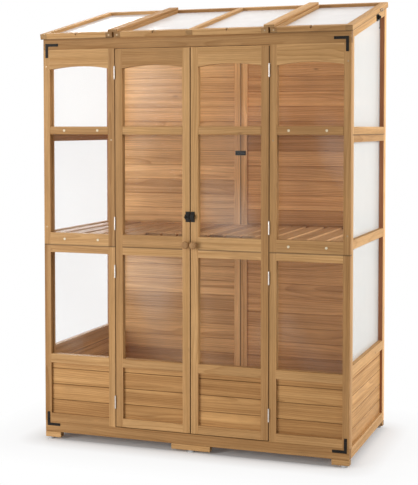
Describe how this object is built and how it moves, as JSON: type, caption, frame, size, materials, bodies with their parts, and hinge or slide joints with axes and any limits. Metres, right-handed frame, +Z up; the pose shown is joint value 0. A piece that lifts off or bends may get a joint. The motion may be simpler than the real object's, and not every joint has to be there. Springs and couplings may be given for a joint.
{
  "type": "wooden greenhouse",
  "caption": "Slim wooden greenhouse cabinet with clear panes over board panels, double arched doors, plant shelves, a floor and a sloping roof with hinged end vents.",
  "frame": {"origin": "centre of the bounding box at the ground, under the glides", "axes": "+X to the right along the front, +Y from the doors to the back wall, +Z up"},
  "size_m": [1.327, 0.6922, 1.8331],
  "materials": {
    "frame_wood": "satin",
    "board_wood": "satin",
    "shelf_wood": "satin",
    "knob_wood": "satin",
    "clear_pane": "gloss",
    "black_steel": "satin",
    "zinc_steel": "satin",
    "cream_plastic": "matt",
    "glide_plastic": "matt"
  },
  "bodies": {
    "cabinet": {"back_boards": "board_wood", "back_joining_plates": "black_steel", "back_rails": "frame_wood", "back_stiles": "frame_wood", "bracket_screws": "black_steel", "corner_brackets": "black_steel", "feet": "frame_wood", "floor_bearers": "shelf_wood", "floor_slats": "shelf_wood", "foot_glides": "glide_plastic", "frame_screws": "zinc_steel", "front_panel_boards": "board_wood", "front_panel_panes": "clear_pane", "front_skirt_rail": "frame_wood", "front_top_rail": "frame_wood", "hinge_fixed_leaves": "zinc_steel", "hinge_pins": "zinc_steel", "left_front_rails": "frame_wood", "left_front_stiles": "frame_wood", "left_side_rails": "frame_wood", "left_side_stiles": "frame_wood", "middle_shelf_bearers": "shelf_wood", "middle_shelf_slats": "shelf_wood", "right_front_rails": "frame_wood", "right_front_stiles": "frame_wood", "right_side_rails": "frame_wood", "right_side_stiles": "frame_wood", "roof_centre_frame": "frame_wood", "roof_centre_panes": "clear_pane", "roof_hook_plates": "black_steel", "shelf_screw_caps": "cream_plastic", "side_boards": "board_wood", "side_panes": "clear_pane", "upper_shelf_bearers": "shelf_wood", "upper_shelf_slats": "shelf_wood"},
    "left_door": {"latch_body": "black_steel", "left_door_boards": "board_wood", "left_door_hinge_leaves": "zinc_steel", "left_door_knob": "knob_wood", "left_door_panes": "clear_pane", "left_door_rails": "frame_wood", "left_door_stiles": "frame_wood"},
    "right_door": {"latch_keeper": "black_steel", "right_door_boards": "board_wood", "right_door_hinge_leaves": "zinc_steel", "right_door_knob": "knob_wood", "right_door_panes": "clear_pane", "right_door_rails": "frame_wood", "right_door_stiles": "frame_wood"},
    "latch_bolt": {"latch_bolt": "black_steel"},
    "left_vent": {"left_vent_batten": "frame_wood", "left_vent_fittings": "zinc_steel", "left_vent_frame": "frame_wood", "left_vent_pane": "clear_pane"},
    "right_vent": {"right_vent_batten": "frame_wood", "right_vent_fittings": "zinc_steel", "right_vent_frame": "frame_wood", "right_vent_pane": "clear_pane"},
    "left_hook": {"left_roof_hook": "black_steel"},
    "right_hook": {"right_roof_hook": "black_steel"}
  },
  "joints": [
    {"name": "left_door_swing", "type": "hinge", "parent": "cabinet", "child": "left_door", "pos_m": [-0.324, -0.3233, 0.85], "axis": [0, 0, -1], "range_deg": [0, 110]},
    {"name": "right_door_swing", "type": "hinge", "parent": "cabinet", "child": "right_door", "pos_m": [0.324, -0.3233, 0.85], "axis": [0, 0, 1], "range_deg": [0, 110]},
    {"name": "latch_slide", "type": "slide", "parent": "left_door", "child": "latch_bolt", "axis": [1, 0, 0], "range_m": [0, 0.01]},
    {"name": "left_vent_lift", "type": "hinge", "parent": "cabinet", "child": "left_vent", "pos_m": [-0.49, 0.3431, 1.80095], "axis": [-1, 0, 0], "range_deg": [0, 60]},
    {"name": "right_vent_lift", "type": "hinge", "parent": "cabinet", "child": "right_vent", "pos_m": [0.49, 0.3431, 1.80095], "axis": [-1, 0, 0], "range_deg": [0, 60]},
    {"name": "left_hook_swing", "type": "hinge", "parent": "cabinet", "child": "left_hook", "pos_m": [-0.654, 0.14837, 1.74205], "axis": [1, 0, 0], "range_deg": [-45, 135]},
    {"name": "right_hook_swing", "type": "hinge", "parent": "cabinet", "child": "right_hook", "pos_m": [0.654, 0.14837, 1.74205], "axis": [1, 0, 0], "range_deg": [-45, 135]}
  ]
}
